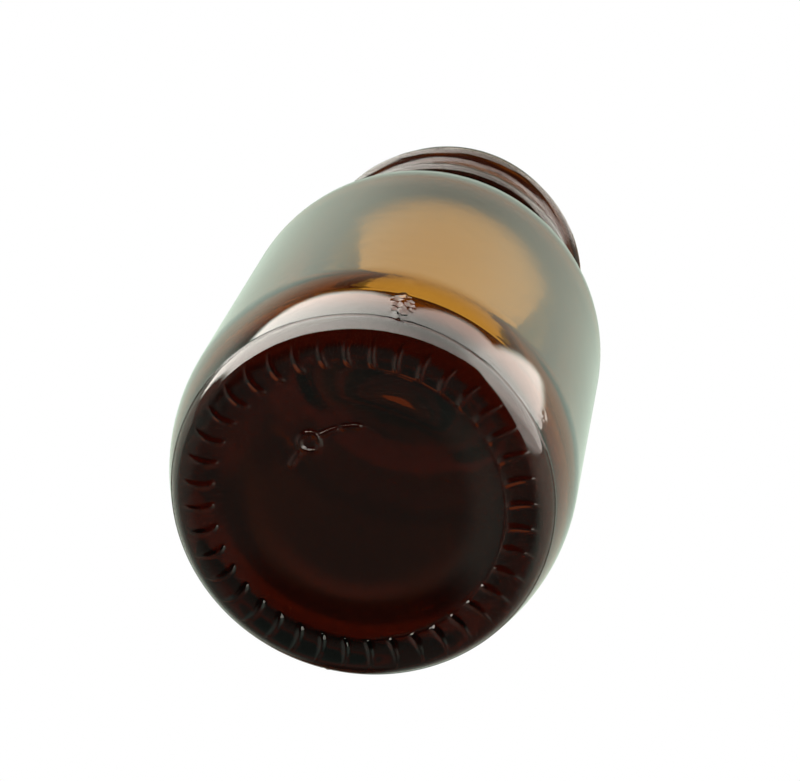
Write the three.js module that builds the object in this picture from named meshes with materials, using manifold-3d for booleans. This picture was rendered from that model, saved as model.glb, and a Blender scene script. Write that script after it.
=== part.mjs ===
// Empty wide-mouth pill bottle of amber glass, standing on its base.
// Millimetres, +Z up, origin at the middle of the base at the height it stands on.
import * as THREE from 'three';
import { mergeVertices } from 'three/addons/utils/BufferGeometryUtils.js';
import Module from 'manifold-3d';

// Body
const bodyRadius = 24;
const heelCurveRadius = 34;
const heelTop = 14;
const shoulderStart = 53.5;
const shoulderHeight = 11.5;
const shoulderSweep = 68;
const filletSweep = 55;
const sideWall = 2.2;
const innerShoulderStart = 54.3;
const innerShoulderHeight = 8.5;

// Base: a pushed-up disc that slopes down to a round bearing ring
const ringRadius = 18.6;
const ringHeight = 0.28;
const pushUp = 1.1;
const recess = 1.5;
const recessStart = 11.5;
const cornerReach = 3.6;
const cornerRise = 3.3;
const cornerSweep = 72.3;
const baseThickness = 7.4;
const cornerInside = 2.5;
const cornerInsideTop = 10;
const cornerInsideLean = 10;

// Parting ridge round the heel, where the base plate met the side moulds
const ridgeRise = 0.1;
const ridgeHeight = 2.6;
const ridgeHalfWidth = 0.17;
const ridgeFootStep = 0.06;

// Crescent ribs that keep the bearing ring off the table
const ribCount = 40;
const ribFirstAngle = 4.5;
const ribInner = 16.65;
const ribOuter = 20.6;
const ribHalfWidth = 0.56;
const ribCrestHalfWidth = 0.08;
const ribBow = 0.45;
const ribRise = 0.3;
const ribStations = [[16.7, 0.6], [17.6, 1], [18.35, 1], [18.95, 1], [19.7, 0.73], [20.5, 0.1]];

// Neck and screw finish
const neckRadius = 17.6;
const neckTop = 74.4;
const beadRadius = 19.7;
const beadHeight = 2.6;
const finishRadius = 17.75;
const lipRadius = 18;
const lipRound = 0.9;
const mouthRound = 0.8;
const mouthRadius = 14.3;
const mouthDepth = 8;
const neckBore = 15.6;
const boreTop = 77;
const boreTaper = 0.5;
const totalHeight = 92;
const threadRadius = 19.25;
const threadPitch = 4.2;
const threadTurns = 1.15;
const threadWidth = 2.4;
const threadTop = 89.4;
const beadGap = 0.6;
const threadGap = 0.4;
const lipGap = 0.9;

// Mould marks on the disc: a row of plain raised shapes on an arc
const markRadius = 8.9;
const markHeight = 0.35;
const markAngles = [192, 209, 226, 243];

// How far cutters and roots pass the surfaces that they meet
const clearance = 0.1;
const rootDepth = 0.25;

const outerSegments = 64;
const innerSegments = 36;
const radians = THREE.MathUtils.degToRad;

// Turns a profile of [radius, height] pairs about the vertical axis.
function turned(profile, segments) {
  const points = profile.map(([radius, height]) => new THREE.Vector2(radius, height));
  const geometry = new THREE.LatheGeometry(points, segments);
  geometry.rotateX(Math.PI / 2);
  return geometry;
}

// Points along a quarter of an ellipse: start and end are in degrees, 0 along
// the radius and 90 along the height.
function ellipse(centreRadius, centreHeight, reach, rise, start, end, steps) {
  const points = [];
  for (let i = 0; i <= steps; i += 1) {
    const angle = radians(start + ((end - start) * i) / steps);
    const radius = centreRadius + reach * Math.cos(angle);
    const height = centreHeight + rise * Math.sin(angle);
    points.push([radius, height]);
  }
  return points;
}

// Height of the underside of the disc: a shallow dome, and a soft slope that
// brings it down to the ring.
function discHeight(radius) {
  const dome = (1 + Math.cos((Math.PI * radius) / ringRadius)) / 2;
  const share = Math.max(0, (radius - recessStart) / (ringRadius - recessStart));
  return ringHeight + pushUp * dome + (recess * (1 + Math.cos(Math.PI * share))) / 2;
}

// Height of the bearing ring's surface between the ribs.
function ringSurface(radius) {
  if (radius < ringRadius) {
    return discHeight(radius);
  }
  const reach = (radius - ringRadius) / cornerReach;
  return ringHeight + cornerRise * (1 - Math.sqrt(1 - reach ** 2));
}

const cornerTop = ringHeight + cornerRise;
const ridgeTop = ridgeHeight + ridgeHalfWidth;
const heelStart = THREE.MathUtils.radToDeg(Math.asin((ridgeTop - heelTop) / heelCurveRadius));

// The shoulder swells inwards as part of an ellipse and then sweeps up into
// the neck along a hollow curve that leaves it at the same slope.
function shoulder(side, neck, start, rise, steps) {
  const reach = side - neck;
  const curve = ellipse(neck, start, reach, rise, 0, shoulderSweep, steps);
  const turn = radians(shoulderSweep);
  const out = radians(filletSweep);
  const hollowReach = (reach * Math.cos(turn)) / (1 - Math.cos(out));
  const slope = (rise / reach) / Math.tan(turn);
  const hollowRise = (hollowReach * slope * Math.sin(out)) / Math.cos(out);
  const top = start + rise * Math.sin(turn) + hollowRise * Math.sin(out);
  const hollow = ellipse(neck + hollowReach, top, hollowReach, hollowRise, 180 + filletSweep, 180, 3);
  return [...curve, ...hollow.slice(1)];
}

function outerProfile() {
  const profile = [];
  for (const radius of [0, 7, 11, 13.5, 15.2, 16.8, ringRadius]) {
    profile.push([radius, discHeight(radius)]);
  }
  profile.push(...ellipse(ringRadius, cornerTop, cornerReach, cornerRise, -90, cornerSweep - 90, 4).slice(1));
  const [ridgeFoot] = profile.pop();
  profile.push([ridgeFoot - ridgeFootStep, ridgeHeight - ridgeHalfWidth]);
  profile.push([ridgeFoot + ridgeRise, ridgeHeight]);
  const heelCentre = bodyRadius - heelCurveRadius;
  profile.push(...ellipse(heelCentre, heelTop, heelCurveRadius, heelCurveRadius, heelStart, 0, 3));
  profile.push(...shoulder(bodyRadius, neckRadius, shoulderStart, shoulderHeight, 6));
  profile.push([neckRadius, neckTop]);
  profile.push(...ellipse(finishRadius, neckTop + beadHeight / 2, beadRadius - finishRadius, beadHeight / 2, -60, 80, 3));
  profile.push([finishRadius, neckTop + beadHeight + beadGap]);
  profile.push([finishRadius, threadTop + threadGap]);
  profile.push([lipRadius, threadTop + lipGap]);
  profile.push(...ellipse(lipRadius - lipRound, totalHeight - lipRound, lipRound, lipRound, 0, 90, 2));
  profile.push([0, totalHeight]);
  return profile;
}

// The hollow: a floor that follows the disc, a rounded corner, a side that
// follows the heel, shoulder, a bore that narrows a little upwards, and a
// round mouth.
function innerProfile() {
  const side = bodyRadius - sideWall;
  const curve = heelCurveRadius - sideWall;
  const bend = THREE.MathUtils.radToDeg(Math.asin((heelTop - cornerInsideTop) / curve));
  const wall = ellipse(bodyRadius - heelCurveRadius, heelTop, curve, curve, -bend, 0, 2);
  const edge = wall[0][0] - cornerInside;
  const floor = [0, 7, 11.5, 14, 16, edge].map((radius) => [radius, discHeight(radius) + baseThickness]);
  const insideRise = cornerInsideTop - floor.pop()[1];
  const corner = ellipse(edge, cornerInsideTop, cornerInside, insideRise, -90, -cornerInsideLean, 4);
  const profile = [...floor, ...corner, ...wall];
  profile.push(...shoulder(side, neckBore, innerShoulderStart, innerShoulderHeight, 5));
  profile.push([neckBore - boreTaper, boreTop]);
  profile.push([mouthRadius, totalHeight - mouthDepth]);
  profile.push([mouthRadius, totalHeight - lipRound]);
  profile.push([mouthRadius + mouthRound * 0.45, totalHeight - mouthRound * 0.4]);
  profile.push([mouthRadius + mouthRound, totalHeight + clearance]);
  profile.push([mouthRadius + mouthRound, totalHeight + 40 * clearance]);
  profile.push([0, totalHeight + 40 * clearance]);
  return profile;
}

// Joins matching vertices, drops the slivers that meet on the axis, and hands
// the closed mesh over as a solid.
const wasm = await Module();
wasm.setup();

function solid(geometry) {
  geometry.deleteAttribute('normal');
  geometry.deleteAttribute('uv');
  const merged = mergeVertices(geometry, 1e-4);
  const index = merged.getIndex().array;
  const triangles = [];
  for (let i = 0; i < index.length; i += 3) {
    const [a, b, c] = [index[i], index[i + 1], index[i + 2]];
    if (a !== b && b !== c && c !== a) {
      triangles.push(a, b, c);
    }
  }
  const mesh = new wasm.Mesh({
    numProp: 3,
    vertProperties: new Float32Array(merged.getAttribute('position').array),
    triVerts: new Uint32Array(triangles),
  });
  return new wasm.Manifold(mesh);
}

function surface(manifold) {
  const mesh = manifold.getMesh();
  const geometry = new THREE.BufferGeometry();
  geometry.setAttribute('position', new THREE.BufferAttribute(mesh.vertProperties, 3));
  geometry.setIndex(new THREE.BufferAttribute(mesh.triVerts, 1));
  geometry.computeVertexNormals();
  return geometry;
}

// A closed skin over a row of cross-sections that all have the same number of
// corners, with both ends capped by fans.
function lofted(sections) {
  const corners = sections[0].length;
  const positions = sections.flat(2);
  const index = [];
  for (let s = 0; s < sections.length - 1; s += 1) {
    for (let c = 0; c < corners; c += 1) {
      const a = s * corners + c;
      const b = s * corners + ((c + 1) % corners);
      index.push(a, a + corners, b);
      index.push(b, a + corners, b + corners);
    }
  }
  const last = (sections.length - 1) * corners;
  for (let c = 1; c < corners - 1; c += 1) {
    index.push(0, c, c + 1);
    index.push(last, last + c + 1, last + c);
  }
  const geometry = new THREE.BufferGeometry();
  geometry.setAttribute('position', new THREE.Float32BufferAttribute(positions, 3));
  geometry.setIndex(index);
  return geometry;
}

// One rib along +X: a low ridge over the round ring, blunt at its inner end,
// drawn out to a point at the outer one and bowed a little sideways, with a
// narrow flat crest that the bottle stands on.
function ribGeometry() {
  const sections = ribStations.map(([radius, share]) => {
    const along = (2 * radius - ribInner - ribOuter) / (ribOuter - ribInner);
    const swell = share ** 0.6;
    const middle = -ribBow * (1 - along ** 2);
    const root = ringSurface(radius) + rootDepth;
    const height = Math.max(ringSurface(radius) - ribRise * share, 0);
    const wide = ribHalfWidth * swell;
    const narrow = ribCrestHalfWidth * swell;
    return [
      [radius, middle + wide, root],
      [radius, middle + narrow, height],
      [radius, middle - narrow, height],
      [radius, middle - wide, root],
    ];
  });
  return lofted(sections);
}

// One raised bead that climbs round the finish and dies away at both ends.
function threadGeometry() {
  const steps = 40;
  const sections = [];
  for (let s = 0; s <= steps; s += 1) {
    const share = s / steps;
    const angle = radians(30 + 360 * threadTurns * share);
    const fade = Math.min(1, share * 8, (1 - share) * 8);
    const rise = (threadRadius - finishRadius) * fade;
    const height = threadTop - threadWidth / 2 - 0.5 - threadPitch * threadTurns * (1 - share);
    const root = finishRadius - 0.6;
    const crest = finishRadius + Math.max(rise, 0.02);
    const across = [[root, -0.5], [crest, -0.16], [crest, 0.16], [root, 0.5]];
    sections.push(across.map(([radius, side]) => [
      radius * Math.cos(angle),
      radius * Math.sin(angle),
      height + side * threadWidth,
    ]));
  }
  return lofted(sections);
}

// The second mark is a small ring, the others are short dashes along the arc.
function markGeometry(order) {
  if (order === 1) {
    return new THREE.TorusGeometry(1.15, markHeight, 6, 14);
  }
  return new THREE.CapsuleGeometry(markHeight, 1.7, 2, 8);
}

function bottleGeometry() {
  let bottle = solid(turned(outerProfile(), outerSegments));
  for (let i = 0; i < ribCount; i += 1) {
    const rib = ribGeometry();
    rib.rotateZ(radians(ribFirstAngle + (360 * i) / ribCount));
    bottle = bottle.add(solid(rib));
  }
  markAngles.forEach((angle, order) => {
    const mark = markGeometry(order);
    mark.translate(markRadius, 0, discHeight(markRadius));
    mark.rotateZ(radians(angle));
    bottle = bottle.add(solid(mark));
  });
  bottle = bottle.add(solid(threadGeometry()));
  bottle = bottle.subtract(solid(turned(innerProfile(), innerSegments)));
  return surface(bottle);
}

const amberGlass = new THREE.MeshStandardMaterial({
  color: 0x5a2408,
  roughness: 0.06,
  metalness: 0,
  transparent: true,
  opacity: 0.8,
});

const bottle = new THREE.Mesh(bottleGeometry(), amberGlass);
bottle.name = 'bottle';

const group = new THREE.Group();
group.add(bottle);

export default group;
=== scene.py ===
import math
import random

import bmesh
import bpy
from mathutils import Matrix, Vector, noise


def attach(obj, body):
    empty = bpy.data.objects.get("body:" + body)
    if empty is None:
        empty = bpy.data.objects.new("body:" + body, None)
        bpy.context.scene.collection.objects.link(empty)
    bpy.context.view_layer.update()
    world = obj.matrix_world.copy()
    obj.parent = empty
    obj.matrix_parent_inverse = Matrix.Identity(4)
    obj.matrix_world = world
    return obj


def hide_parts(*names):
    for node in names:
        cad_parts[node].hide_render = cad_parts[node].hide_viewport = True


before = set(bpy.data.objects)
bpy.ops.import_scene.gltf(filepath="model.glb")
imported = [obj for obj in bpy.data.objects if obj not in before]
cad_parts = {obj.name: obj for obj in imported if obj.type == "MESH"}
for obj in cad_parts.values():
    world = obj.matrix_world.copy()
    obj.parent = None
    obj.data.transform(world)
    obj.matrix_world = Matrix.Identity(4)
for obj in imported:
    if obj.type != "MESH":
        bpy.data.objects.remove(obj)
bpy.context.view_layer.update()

MM = 0.001

# The bottle's base and heel. Pressed amber glass: a pushed-up disc that runs
# down to a round bearing ring with forty ribs, and a heel that carries the
# parting ridge of the base plate. Drawn from a small disc, ring by ring.
RIBS = 40
COLUMNS_PER_RIB = 16
BASE_COLUMNS = RIBS * COLUMNS_PER_RIB
FIRST_RIB = math.radians(4.5)

RING_RADIUS = 18.6
RING_HEIGHT = 0.28
PUSH_UP = 1.1
RECESS = 1.5
RECESS_START = 11.5
CORNER_REACH = 3.6
CORNER_RISE = 3.3
CORNER_SWEEP = 72.3
RIDGE_HEIGHT = 2.6
RIDGE_RISE = 0.1
RIDGE_HALF_WIDTH = 0.17
# the slope of the heel where the ridge runs: outwards and upwards
RIDGE_LEAN = (0.36, 0.93)
# the ridge's section: distance from its crest, and share of its rise
RIDGE_SECTION = ((-0.17, 0), (-0.11, 0.3), (-0.05, 0.85), (0, 1), (0.05, 0.85), (0.11, 0.3))
HEEL_CURVE = 34.0
HEEL_FINE_END = -11
HEEL_TOP = 14.0
BODY_RADIUS = 24.0

RIB_INNER = 16.65
RIB_PEAK = 17.5
RIB_OUTER = 20.6
RIB_RISE = 0.29
RIB_HALF_WIDTH = 0.56
RIB_BOW = 0.45
RIB_FLANK = 1.12
RIB_SWELL = 0.6
RIB_GATHER = 0.45
# all the relief of the base plate lies below this height
BASE_TOP = 3.0


def oval(centre, height, reach, rise, start, end, steps):
    """Radius and height along part of an ellipse, angles in degrees from the radius."""
    points = []
    for i in range(steps + 1):
        angle = math.radians(start + (end - start) * i / steps)
        points.append((centre + reach * math.cos(angle), height + rise * math.sin(angle)))
    return points


def disc_height(radius):
    """The push-up is a shallow dome, and a soft slope brings it down to the ring."""
    dome = (1 + math.cos(math.pi * radius / RING_RADIUS)) / 2
    share = max(0.0, (radius - RECESS_START) / (RING_RADIUS - RECESS_START))
    return RING_HEIGHT + PUSH_UP * dome + RECESS * (1 + math.cos(math.pi * share)) / 2


def base_rings():
    radii = [1.5, 3.0, 4.5, 6.0, 6.8]
    radii += [7.0 + 0.2 * i for i in range(20)]
    radii += [11.5, 12.2, 12.9, 13.6, 14.2, 14.8, 15.3, 15.8, 16.2, 16.4, 16.52, 16.62, 16.72]
    radii += [16.84, 16.98, 17.12, 17.28, 17.45, 17.65, 17.85, 18.1, 18.35, RING_RADIUS]
    rings = [(r, disc_height(r)) for r in radii]
    corner_top = RING_HEIGHT + CORNER_RISE
    rings += oval(RING_RADIUS, corner_top, CORNER_REACH, CORNER_RISE, -90, CORNER_SWEEP - 90, 24)[1:]
    edge = rings.pop()[0]
    for lift, share in RIDGE_SECTION:
        rings.append((edge + RIDGE_LEAN[0] * lift + RIDGE_RISE * share, RIDGE_HEIGHT + RIDGE_LEAN[1] * lift))
    start = math.degrees(math.asin((RIDGE_HEIGHT + RIDGE_HALF_WIDTH - HEEL_TOP) / HEEL_CURVE))
    centre = BODY_RADIUS - HEEL_CURVE
    rings += oval(centre, HEEL_TOP, HEEL_CURVE, HEEL_CURVE, start, HEEL_FINE_END, 18)
    rings += oval(centre, HEEL_TOP, HEEL_CURVE, HEEL_CURVE, HEEL_FINE_END, 0, 6)[1:]
    return rings


def rib_size(radius):
    """Share of a rib's full size: blunt at its inner end, drawn out to a point."""
    if not RIB_INNER < radius < RIB_OUTER:
        return 0.0
    if radius < RIB_PEAK:
        return math.sqrt(1 - ((RIB_PEAK - radius) / (RIB_PEAK - RIB_INNER)) ** 2)
    return 1 - ((radius - RIB_PEAK) / (RIB_OUTER - RIB_PEAK)) ** 1.8


def rib_turn(radius):
    """Angle by which the bow of the ribs carries a ring round."""
    along = (2 * radius - RIB_INNER - RIB_OUTER) / (RIB_OUTER - RIB_INNER)
    return -RIB_BOW * max(0.0, 1 - along ** 2) / radius


def extrude_rings(rings, radius, height, turn=None):
    """Draws the selected loop out through a list of rings."""
    angle = 0.0
    for next_radius, next_height in rings:
        bpy.ops.mesh.extrude_edges_move()
        scale = next_radius / radius
        if abs(scale - 1) > 1e-6:
            bpy.ops.transform.resize(value=(scale, scale, 1), center_override=(0, 0, 0))
        bpy.ops.transform.translate(value=(0, 0, (next_height - height) * MM))
        if turn:
            step = turn(next_radius) - angle
            angle += step
            if abs(step) > 1e-7:
                bpy.ops.transform.rotate(value=-step, orient_axis="Z", center_override=(0, 0, 0))
        radius, height = next_radius, next_height


bpy.ops.object.select_all(action="DESELECT")
HUB_RADIUS = 0.7
bpy.ops.mesh.primitive_circle_add(
    vertices=BASE_COLUMNS, radius=HUB_RADIUS * MM, fill_type="TRIFAN",
    location=(0, 0, disc_height(0) * MM))
bottle = bpy.context.object
bottle.name = "bottle_glass"
bpy.ops.object.transform_apply(location=True, rotation=True, scale=True)
bpy.ops.object.mode_set(mode="EDIT")
bpy.ops.mesh.select_mode(type="EDGE")
bpy.ops.mesh.select_all(action="DESELECT")
bpy.ops.mesh.select_non_manifold(extend=False)
extrude_rings(base_rings(), HUB_RADIUS, disc_height(0), rib_turn)


def emboss(depth_at, move, step=0.012):
    """Lifts vertices level by level: depth_at gives each one's height, move lifts a level."""
    mesh = bmesh.from_edit_mesh(bpy.context.object.data)
    mesh.verts.ensure_lookup_table()
    levels = {}
    for vertex in mesh.verts:
        x, y, z = vertex.co / MM
        level = round(depth_at(math.hypot(x, y), math.atan2(y, x), z) / step)
        if level:
            levels.setdefault(level, []).append(vertex.index)
    for level, members in sorted(levels.items()):
        bpy.ops.mesh.select_all(action="DESELECT")
        mesh = bmesh.from_edit_mesh(bpy.context.object.data)
        mesh.verts.ensure_lookup_table()
        for index in members:
            mesh.verts[index].select_set(True)
        move(level * step)


def push_down(depth):
    bpy.ops.transform.translate(value=(0, 0, -depth * MM))


def wrap(angle, period=2 * math.pi):
    """The angle brought between minus half and plus half a period."""
    return (angle + period / 2) % period - period / 2


def across_rib(radius, angle):
    """How far round a place is from the nearest rib's crest, from -1 to 1 of half a pitch."""
    pitch = 2 * math.pi / RIBS
    return wrap(angle - FIRST_RIB - rib_turn(radius), pitch) / (pitch / 2)


def turn_round(degrees):
    bpy.ops.transform.rotate(
        value=-math.radians(degrees), orient_axis="Z", center_override=(0, 0, 0))


def gathered(radius, angle, height):
    """Brings the columns of faces closer together at the ribs, which are narrow."""
    if radius < 0.1:
        return 0.0
    across = across_rib(radius, angle)
    if abs(abs(across) - 1) < 0.01:
        return 0.0
    return across * RIB_GATHER * (across ** 2 - 1) * 180 / RIBS


bpy.ops.mesh.select_mode(type="VERT")
emboss(gathered, turn_round, step=0.01)


# The ribs are cut in the base plate, so they stand out of the ring: steep
# sided, with a narrow crest, and all bowed the same way round.
def rib_depth(radius, angle, height):
    size = rib_size(radius)
    if not size or height > BASE_TOP:
        return 0.0
    half = RIB_HALF_WIDTH * size ** RIB_SWELL
    across = abs(across_rib(radius, angle)) * math.pi / RIBS * radius / half
    return RIB_RISE * size * min(1.0, max(0.0, RIB_FLANK * (1 - across)))


emboss(rib_depth, push_down)

# The row of plain mould marks on the disc: dashes along an arc, and a ring.
MARK_RADIUS = 8.9
MARK_ANGLES = [math.radians(a) for a in (192, 209, 226, 243)]
MARK_HEIGHT = 0.4
MARK_HALF_WIDTH = 0.42
MARK_REACH = 2.0
MARK_RING_RADIUS = 1.15
DASH_HALF_LENGTH = 0.9


def mark_depth(radius, angle, height):
    if abs(radius - MARK_RADIUS) > MARK_REACH or height > BASE_TOP:
        return 0.0
    nearest = MARK_RADIUS
    for order, centre in enumerate(MARK_ANGLES):
        along = wrap(angle - centre) * MARK_RADIUS
        out = radius - MARK_RADIUS
        if order == 1:
            distance = abs(math.hypot(along, out) - MARK_RING_RADIUS)
        else:
            distance = math.hypot(max(abs(along) - DASH_HALF_LENGTH, 0.0), out)
        nearest = min(nearest, distance)
    if nearest >= MARK_HALF_WIDTH:
        return 0.0
    return MARK_HEIGHT * math.cos(math.pi / 2 * nearest / MARK_HALF_WIDTH)


emboss(mark_depth, push_down)

# Where the two side moulds met there is a fine upright seam on each side, with
# a little rough flash at its foot, by the parting ridge.
SEAM_ANGLES = (math.radians(261), math.radians(81))
SEAM_RISE = 0.07
SEAM_HALF_WIDTH = 0.3
SEAM_TOP = 12.0
SEAM_FADE = 5.0
# the seams and rough spots lie outside this radius and above this height
SEAM_INNER = 21.4
SEAM_FOOT = 2.0
ROUGH_GRAIN = 2.7
# where the rough spots are: angle, height, half width, half height, lift
ROUGH_SPOTS = [(SEAM_ANGLES[0], 4.9, 1.5, 2.9, 0.6), (SEAM_ANGLES[1], 4.9, 1.5, 2.9, 0.6),
               (math.radians(314), 4.4, 0.8, 1.5, 0.4)]


def seam_depth(radius, angle, height):
    if radius < SEAM_INNER or height < SEAM_FOOT:
        return 0.0
    lift = 0.0
    for seam in SEAM_ANGLES:
        across = abs(wrap(angle - seam)) * radius
        if across < SEAM_HALF_WIDTH and height > RIDGE_HEIGHT:
            fade = min(1.0, max(0.0, (SEAM_TOP - height) / SEAM_FADE))
            lift += SEAM_RISE * (1 - across / SEAM_HALF_WIDTH) * fade
    place = Vector((radius * math.cos(angle), radius * math.sin(angle), height))
    for middle, level, wide, tall, rise in ROUGH_SPOTS:
        spread = math.hypot(wrap(angle - middle) * radius / wide, (height - level) / tall)
        if spread < 1:
            lift += rise * (1 - spread ** 2) * noise.noise(place * ROUGH_GRAIN)
    return lift


def push_out(depth, radius=BODY_RADIUS):
    scale = (radius + depth) / radius
    bpy.ops.transform.resize(value=(scale, scale, 1), center_override=(0, 0, 0))


emboss(seam_depth, push_out)

# On one side a fine ragged groove runs along the inner ends of the ribs, where
# the edge of the base plate's insert was worn.
GROOVE_RADIUS = 16.62
GROOVE_MIDDLE = math.radians(340)
GROOVE_DEPTH = 0.22
GROOVE_HALF_WIDTH = 0.05
GROOVE_SWAY = 0.16
GROOVE_LEAST = 0.4
draw = random.Random(7)
# each short stretch of the groove has its own sway and its own share of the depth
GROOVE_ARCS = [(draw.uniform(-GROOVE_SWAY, GROOVE_SWAY), draw.uniform(GROOVE_LEAST, 1.0)) for i in range(90)]


def groove_arc(angle):
    return GROOVE_ARCS[int(angle % (2 * math.pi) / (2 * math.pi) * len(GROOVE_ARCS))]


def groove_depth(radius, angle, height):
    if abs(radius - GROOVE_RADIUS) > GROOVE_HALF_WIDTH or height > BASE_TOP:
        return 0.0
    return -GROOVE_DEPTH * groove_arc(angle)[1] * max(0.0, math.cos(angle - GROOVE_MIDDLE)) ** 0.5


def groove_shift(radius, angle, height):
    if abs(radius - GROOVE_RADIUS) > GROOVE_SWAY or height > BASE_TOP:
        return 0.0
    return groove_arc(angle)[0] * max(0.0, math.cos(angle - GROOVE_MIDDLE)) ** 0.5


emboss(groove_depth, push_down)
emboss(groove_shift, push_out)

# The bottle's side, shoulder, neck, lip and hollow, blown in the side moulds.
# A second run of rings goes up the outside, over the lip and down the inside
# to the floor, and is joined to the heel.
SIDE_COLUMNS = 160
SIDE_START = 14.8
SHOULDER_START = 53.5
SHOULDER_RISE = 11.5
SHOULDER_SWEEP = 68
FILLET_SWEEP = 55
SIDE_WALL = 2.2
INNER_SHOULDER_START = 54.3
INNER_SHOULDER_RISE = 8.5
NECK_RADIUS = 17.6
NECK_TOP = 74.4
BEAD_RADIUS = 19.7
BEAD_HEIGHT = 2.6
FINISH_RADIUS = 17.75
THREAD_FOOT = 77.7
THREAD_TOP = 89.4
FINISH_STEP = 0.34
FINISH_HOLLOW = 0.12
LIP_RADIUS = 18.0
LIP_ROUND = 0.9
MOUTH_RADIUS = 14.3
MOUTH_ROUND = 0.8
NECK_BORE = 15.6
# how the bore narrows upwards: height, and how much it is narrower there
BORE_TAPER = ((80.5, 1.0), (77, 0.5), (73, 0.15), (69.5, 0))
TOTAL_HEIGHT = 92.0
BASE_THICKNESS = 7.4
CORNER_INSIDE = 2.5
CORNER_INSIDE_TOP = 10.0
CORNER_INSIDE_LEAN = 10


def shoulder(side, neck, start, rise):
    """A swelling curve inwards and a hollow one up into the neck, at one slope."""
    reach = side - neck
    curve = oval(neck, start, reach, rise, 0, SHOULDER_SWEEP, 12)
    turn = math.radians(SHOULDER_SWEEP)
    out = math.radians(FILLET_SWEEP)
    hollow_reach = reach * math.cos(turn) / (1 - math.cos(out))
    slope = rise / reach / math.tan(turn)
    hollow_rise = hollow_reach * slope * math.tan(out)
    top = start + rise * math.sin(turn) + hollow_rise * math.sin(out)
    hollow = oval(neck + hollow_reach, top, hollow_reach, hollow_rise, 180 + FILLET_SWEEP, 180, 7)
    return curve + hollow[1:]


def side_rings():
    rings = [(BODY_RADIUS, z) for z in (20, 27, 34, 41, 48)]
    rings += shoulder(BODY_RADIUS, NECK_RADIUS, SHOULDER_START, SHOULDER_RISE)
    rings += [(NECK_RADIUS, z) for z in (70.5, 72.3, 73.8)]
    bead_reach = BEAD_RADIUS - FINISH_RADIUS
    bead_middle = NECK_TOP + BEAD_HEIGHT / 2
    rings += oval(FINISH_RADIUS, bead_middle, bead_reach, BEAD_HEIGHT / 2, -84, 84, 14)
    rings += [(FINISH_RADIUS, THREAD_FOOT + 0.1 + FINISH_STEP * i) for i in range(35)]
    rings += [(FINISH_RADIUS - FINISH_HOLLOW, THREAD_TOP + 0.6), (LIP_RADIUS, THREAD_TOP + 0.9)]
    rings += oval(LIP_RADIUS - LIP_ROUND, TOTAL_HEIGHT - LIP_ROUND, LIP_ROUND, LIP_ROUND, 0, 90, 8)
    rings += oval(MOUTH_RADIUS + MOUTH_ROUND, TOTAL_HEIGHT - LIP_ROUND, -MOUTH_ROUND, LIP_ROUND, 90, 0, 6)
    rings += [(MOUTH_RADIUS, 88), (MOUTH_RADIUS, 84)]
    rings += [(NECK_BORE - taper, z) for z, taper in BORE_TAPER]
    # the inside follows the outside at the wall's thickness, down to the corner
    side = BODY_RADIUS - SIDE_WALL
    rings += reversed(shoulder(side, NECK_BORE, INNER_SHOULDER_START, INNER_SHOULDER_RISE))
    rings += [(side, z) for z in (45, 35, 25, 18)]
    curve = HEEL_CURVE - SIDE_WALL
    bend = math.degrees(math.asin((HEEL_TOP - CORNER_INSIDE_TOP) / curve))
    rings += oval(BODY_RADIUS - HEEL_CURVE, HEEL_TOP, curve, curve, 0, -bend, 8)
    # the rounded corner, and a floor that follows the disc
    radii = [rings[-1][0] - CORNER_INSIDE, 18.2, 17.4, 16.5, 15.6, 14.7, 13.8, 12.9, 12, 11, 9, 7, 5, 3, 1.5]
    inner_floor = [(r, disc_height(r) + BASE_THICKNESS) for r in radii]
    edge, level = inner_floor[0]
    rise = CORNER_INSIDE_TOP - level
    rings += oval(edge, CORNER_INSIDE_TOP, CORNER_INSIDE, rise, -CORNER_INSIDE_LEAN, -90, 14)
    rings += inner_floor[1:]
    return rings


bpy.ops.mesh.select_all(action="DESELECT")
bpy.ops.mesh.primitive_circle_add(
    vertices=SIDE_COLUMNS, radius=BODY_RADIUS * MM, fill_type="NOTHING",
    location=(0, 0, SIDE_START * MM))
bpy.ops.mesh.select_mode(type="EDGE")
extrude_rings(side_rings(), BODY_RADIUS, SIDE_START)
bpy.ops.mesh.extrude_edges_move()
bpy.ops.mesh.merge(type="CENTER")
bpy.ops.mesh.select_all(action="DESELECT")
bpy.ops.mesh.select_non_manifold(extend=False)
bpy.ops.mesh.bridge_edge_loops()

# The neck's screw thread: one raised bead that climbs a little over a turn.
THREAD_RISE = 1.5
THREAD_PITCH = 4.2
THREAD_TURNS = 1.15
THREAD_START = math.radians(30)
THREAD_FALL = 1.7
THREAD_HALF_WIDTH = 1.2
THREAD_FLANK = 0.8
# the share of the thread's length over which each of its ends dies away
THREAD_END = 1 / 8


def thread_depth(radius, angle, height):
    if not THREAD_FOOT < height < THREAD_TOP + 0.5 or abs(radius - FINISH_RADIUS) > 0.25:
        return 0.0
    lift = 0.0
    for lap in range(2):
        turned = (angle - THREAD_START) % (2 * math.pi) + 2 * math.pi * lap
        share = turned / (2 * math.pi * THREAD_TURNS)
        if share > 1:
            continue
        middle = THREAD_TOP - THREAD_FALL - THREAD_PITCH * THREAD_TURNS * (1 - share)
        across = abs(height - middle)
        fade = min(1.0, share / THREAD_END, (1 - share) / THREAD_END)
        swell = min(1.0, max(0.0, (THREAD_HALF_WIDTH - across) / THREAD_FLANK))
        lift = max(lift, THREAD_RISE * fade * swell)
    return lift


def push_finish(depth):
    push_out(depth, FINISH_RADIUS)


bpy.ops.mesh.select_mode(type="VERT")
emboss(thread_depth, push_finish, step=0.03)
bpy.ops.mesh.select_all(action="SELECT")
bpy.ops.mesh.normals_make_consistent(inside=False)
bpy.ops.object.mode_set(mode="OBJECT")
bpy.ops.object.shade_smooth()

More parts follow.
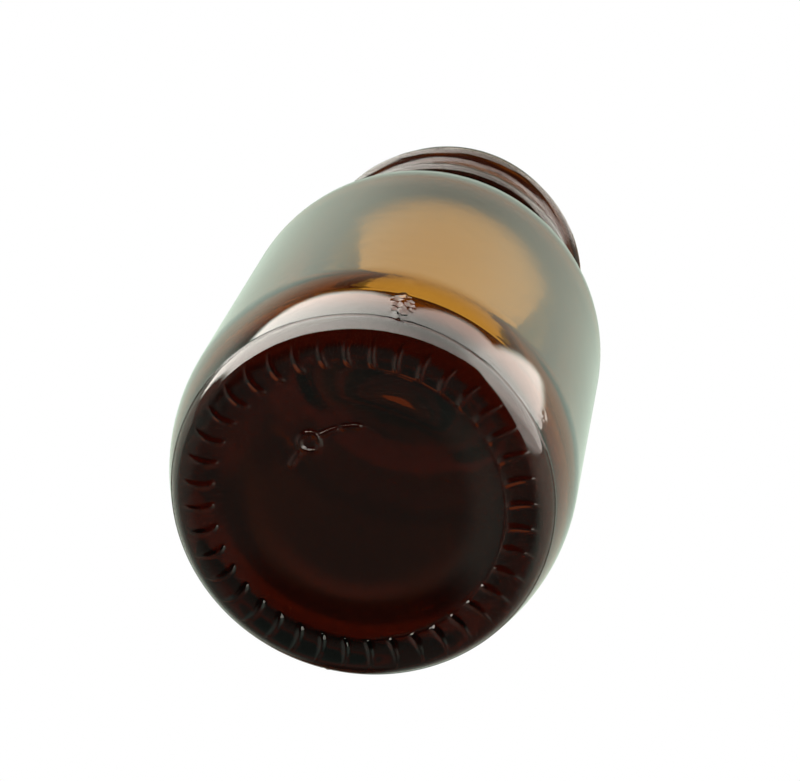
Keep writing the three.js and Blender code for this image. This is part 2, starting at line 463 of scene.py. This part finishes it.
# Amber glass: clear and brown where it is thin, nearly black where it is
# thick, with a faint waviness from the mould, and a little duller further up.
AMBER = (0.733, 0.56, 0.067, 1)
AMBER_DENSITY = 1500
GLASS_IOR = 1.52
glass = bpy.data.materials.new("amber_glass")
glass.use_nodes = True
nodes, links = glass.node_tree.nodes, glass.node_tree.links
shader = nodes["Principled BSDF"]
shader.inputs["Metallic"].default_value = 0.0
shader.inputs["Transmission Weight"].default_value = 1.0
shader.inputs["IOR"].default_value = GLASS_IOR
place = nodes.new("ShaderNodeTexCoord")
wave = nodes.new("ShaderNodeTexNoise")
wave.inputs["Scale"].default_value = 90
wave.inputs["Detail"].default_value = 2
links.new(place.outputs["Object"], wave.inputs["Vector"])
peel = nodes.new("ShaderNodeTexNoise")
peel.inputs["Scale"].default_value = 420
peel.inputs["Detail"].default_value = 3
links.new(place.outputs["Object"], peel.inputs["Vector"])
tint = nodes.new("ShaderNodeValToRGB")
tint.color_ramp.elements[0].color = (0.9, 0.84, 0.78, 1)
tint.color_ramp.elements[1].color = (1, 0.98, 0.95, 1)
links.new(wave.outputs["Fac"], tint.inputs["Fac"])
links.new(tint.outputs["Color"], shader.inputs["Base Color"])
dull = nodes.new("ShaderNodeMapRange")
dull.inputs["To Min"].default_value = 0.01
dull.inputs["To Max"].default_value = 0.05
links.new(peel.outputs["Fac"], dull.inputs["Value"])
apart = nodes.new("ShaderNodeSeparateXYZ")
links.new(place.outputs["Object"], apart.inputs["Vector"])
haze = nodes.new("ShaderNodeMapRange")
haze.inputs["From Min"].default_value = 0.012
haze.inputs["From Max"].default_value = 0.06
haze.inputs["To Max"].default_value = 0.11
links.new(apart.outputs["Z"], haze.inputs["Value"])
duller = nodes.new("ShaderNodeMath")
links.new(dull.outputs["Result"], duller.inputs[0])
links.new(haze.outputs["Result"], duller.inputs[1])
links.new(duller.outputs[0], shader.inputs["Roughness"])
coarse = nodes.new("ShaderNodeBump")
coarse.inputs["Strength"].default_value = 0.06
coarse.inputs["Distance"].default_value = 0.0003
links.new(wave.outputs["Fac"], coarse.inputs["Height"])
fine = nodes.new("ShaderNodeBump")
fine.inputs["Strength"].default_value = 0.08
fine.inputs["Distance"].default_value = 0.0001
links.new(peel.outputs["Fac"], fine.inputs["Height"])
links.new(coarse.outputs["Normal"], fine.inputs["Normal"])
links.new(fine.outputs["Normal"], shader.inputs["Normal"])
depth_colour = nodes.new("ShaderNodeVolumeAbsorption")
depth_colour.inputs["Color"].default_value = AMBER
depth_colour.inputs["Density"].default_value = AMBER_DENSITY
links.new(depth_colour.outputs["Volume"], nodes["Material Output"].inputs["Volume"])
bottle.data.materials.clear()
bottle.data.materials.append(glass)
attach(bottle, "root")
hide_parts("bottle")

# The camera looks up at the base along the bottle, a little to one side, with
# a long lens, as the bottle was photographed.
bpy.ops.object.camera_add(
    location=(-0.00038, -0.12072, -0.26757),
    rotation=[math.radians(a) for a in (159.784, -7.610, -19.780)])
camera = bpy.context.object
camera.data.sensor_width = 36
camera.data.lens = 117
camera.data.clip_start = 0.01
bpy.context.scene.camera = camera

# The studio: a pale floor, which is see-through from below so that it does
# not hide the base, and a white room with one broad soft window of light
# beside the base, one at its right, and the dark of the camera side.
bpy.ops.object.select_all(action="DESELECT")
bpy.ops.mesh.primitive_plane_add(size=3, location=(0, 0, 0))
floor = bpy.context.object
floor.name = "studio_floor"
pale = bpy.data.materials.new("pale_floor")
pale.use_nodes = True
nodes, links = pale.node_tree.nodes, pale.node_tree.links
nodes.clear()
output = nodes.new("ShaderNodeOutputMaterial")
paint = nodes.new("ShaderNodeBsdfDiffuse")
paint.inputs["Color"].default_value = (0.82, 0.82, 0.81, 1)
clear = nodes.new("ShaderNodeBsdfTransparent")
side_seen = nodes.new("ShaderNodeNewGeometry")
ray = nodes.new("ShaderNodeLightPath")
front = nodes.new("ShaderNodeMath")
front.operation = "SUBTRACT"
front.use_clamp = True
links.new(ray.outputs["Is Camera Ray"], front.inputs[0])
links.new(side_seen.outputs["Backfacing"], front.inputs[1])
mix = nodes.new("ShaderNodeMixShader")
links.new(front.outputs[0], mix.inputs[0])
links.new(clear.outputs[0], mix.inputs[1])
links.new(paint.outputs[0], mix.inputs[2])
links.new(mix.outputs[0], output.inputs["Surface"])
floor.data.materials.append(pale)

world = bpy.data.worlds.new("studio")
world.use_nodes = True
bpy.context.scene.world = world
nodes, links = world.node_tree.nodes, world.node_tree.links
nodes.clear()
sky = nodes.new("ShaderNodeTexCoord").outputs["Generated"]


def calc(operation, *values):
    """A Math node; the values are numbers or other nodes' outputs."""
    maths = nodes.new("ShaderNodeMath")
    maths.operation = operation
    for socket, value in zip(maths.inputs, values):
        if isinstance(value, (int, float)):
            socket.default_value = value
        else:
            links.new(value, socket)
    return maths.outputs[0]


def towards(direction):
    """How far a direction of the room points along the given one, from -1 to 1."""
    product = nodes.new("ShaderNodeVectorMath")
    product.operation = "DOT_PRODUCT"
    links.new(sky, product.inputs[0])
    product.inputs[1].default_value = direction
    return product.outputs["Value"]


def rises(value, start, end):
    """A soft step from 0 at start to 1 at end."""
    step = nodes.new("ShaderNodeMapRange")
    step.interpolation_type = "SMOOTHSTEP"
    links.new(value, step.inputs["Value"])
    step.inputs["From Min"].default_value = start
    step.inputs["From Max"].default_value = end
    return step.outputs["Result"]


def blend(share, first, second):
    """first where share is 0 and second where it is 1."""
    return calc("ADD", calc("MULTIPLY", calc("SUBTRACT", 1.0, share), first),
                calc("MULTIPLY", share, second))


right = towards((0.9327, -0.3354, 0.1324))
above = towards((-0.3606, -0.8675, 0.3425))
nearer = towards((0.0, -0.3672, -0.9301))
turn = calc("MULTIPLY", calc("ARCTAN2", above, nearer), 180 / math.pi)

# how bright each part of the room is
DIM = 0.13
BEHIND_CAMERA = 0.028
WHITE = 0.92
SHADOW = 0.03
WINDOW = 5.2
WINDOW_FALL = 6.5
WINDOW_LEAST = 3.2
SECOND_WINDOW = 3.4
# the window's top edge, in degrees round from the camera: lowest at one place, higher to both sides
EDGE_TURN = 108.5
EDGE_LIFT = 26.6
EDGE_LOWEST = 0.22
EDGE_POWER = 0.72
# seen through the glass: the painted shadow of the bottle on the table straight beyond the mouth, and the
# share lost low down
SHADOW_BEYOND_MOUTH = 0.45
LOSS_BELOW = 0.75

# below and beside the base the room is dim, and paler to both sides
left_share = rises(right, -0.35, -1.0)
right_share = rises(right, 0.35, 0.95)
room = calc("ADD", DIM, calc("ADD", calc("MULTIPLY", left_share, 0.25),
                              calc("MULTIPLY", right_share, 0.72)))
# behind the camera it is dark
dark = calc("MULTIPLY", rises(turn, -34, -12), rises(right, -1.0, -0.75))
room = blend(dark, room, BEHIND_CAMERA)
# away from the camera it is white, but for the shadow that the bottle lies in
white = calc("MAXIMUM", rises(turn, 122, 152), rises(turn, -104, -172))
shade = calc("MULTIPLY", rises(turn, -95, -115), rises(turn, -172, -156))
shade = calc("MULTIPLY", shade, calc("MULTIPLY", rises(right, -0.36, -0.2), rises(right, 0.06, -0.06)))
room = blend(white, room, calc("SUBTRACT", WHITE, calc("MULTIPLY", right, 0.14)))
room = blend(shade, room, SHADOW)
# the broad window of light above the camera
aside = calc("ABSOLUTE", calc("SUBTRACT", right, EDGE_LOWEST))
top_edge = calc("ADD", EDGE_TURN, calc("MULTIPLY", EDGE_LIFT, calc("POWER", aside, EDGE_POWER)))
window = calc("MULTIPLY", rises(turn, 37, 40), rises(calc("SUBTRACT", turn, top_edge), 2, -2))
window = calc("MULTIPLY", window, rises(right, -0.95, -0.9))
bright = calc("SUBTRACT", WINDOW, calc("MULTIPLY", WINDOW_FALL, right))
least = calc("ADD", WINDOW_LEAST, calc("MULTIPLY", 3.0, rises(right, 0.5, 0.8)))
bright = calc("MAXIMUM", bright, least)
room = blend(window, room, bright)
# the second window, at the right
second = calc("MULTIPLY", rises(right, 0.62, 0.68), rises(turn, -26, -14))
second = calc("MULTIPLY", second, rises(turn, 158, 150))
room = blend(second, room, calc("ADD", SECOND_WINDOW, calc("MULTIPLY", 2.4, rises(turn, 0, 30))))
# what is seen through the glass is the bright white room beyond it, less of it from below, with a painted
# shadow of the bottle on the table straight beyond the mouth
ray = nodes.new("ShaderNodeLightPath")
beyond = calc("ADD", 1.0, calc("MULTIPLY", 0.7, rises(nearer, 0.2, -0.6)))
# painted shadow: the cone straight beyond the mouth and just below it, where the bottle's own shadow on the
# table would lie
shadow_cone = calc("MULTIPLY", rises(nearer, -0.95, -0.98), rises(above, 0.022, 0.006))
loss = calc("MULTIPLY", LOSS_BELOW, rises(above, -0.35, -0.7))
beyond = calc("MULTIPLY", beyond, calc("SUBTRACT", 1.0, loss))
beyond = blend(shadow_cone, calc("MAXIMUM", room, beyond), SHADOW_BEYOND_MOUTH)
room = blend(ray.outputs["Is Transmission Ray"], room, beyond)
room = blend(ray.outputs["Is Camera Ray"], room, 1.0)
light = nodes.new("ShaderNodeBackground")
tones = nodes.new("ShaderNodeMix")
tones.data_type = "RGBA"
links.new(calc("MAXIMUM", window, second), tones.inputs["Factor"])
tones.inputs[6].default_value = (0.84, 1.0, 0.84, 1)
tones.inputs[7].default_value = (1.0, 0.96, 0.88, 1)
plain = nodes.new("ShaderNodeMix")
plain.data_type = "RGBA"
links.new(calc("MAXIMUM", ray.outputs["Is Camera Ray"], ray.outputs["Is Transmission Ray"]),
          plain.inputs["Factor"])
links.new(tones.outputs[2], plain.inputs[6])
plain.inputs[7].default_value = (1, 1, 1, 1)
links.new(plain.outputs[2], light.inputs["Color"])
links.new(room, light.inputs["Strength"])
links.new(light.outputs[0], nodes.new("ShaderNodeOutputWorld").inputs["Surface"])
bpy.context.scene.view_settings.view_transform = "Standard"
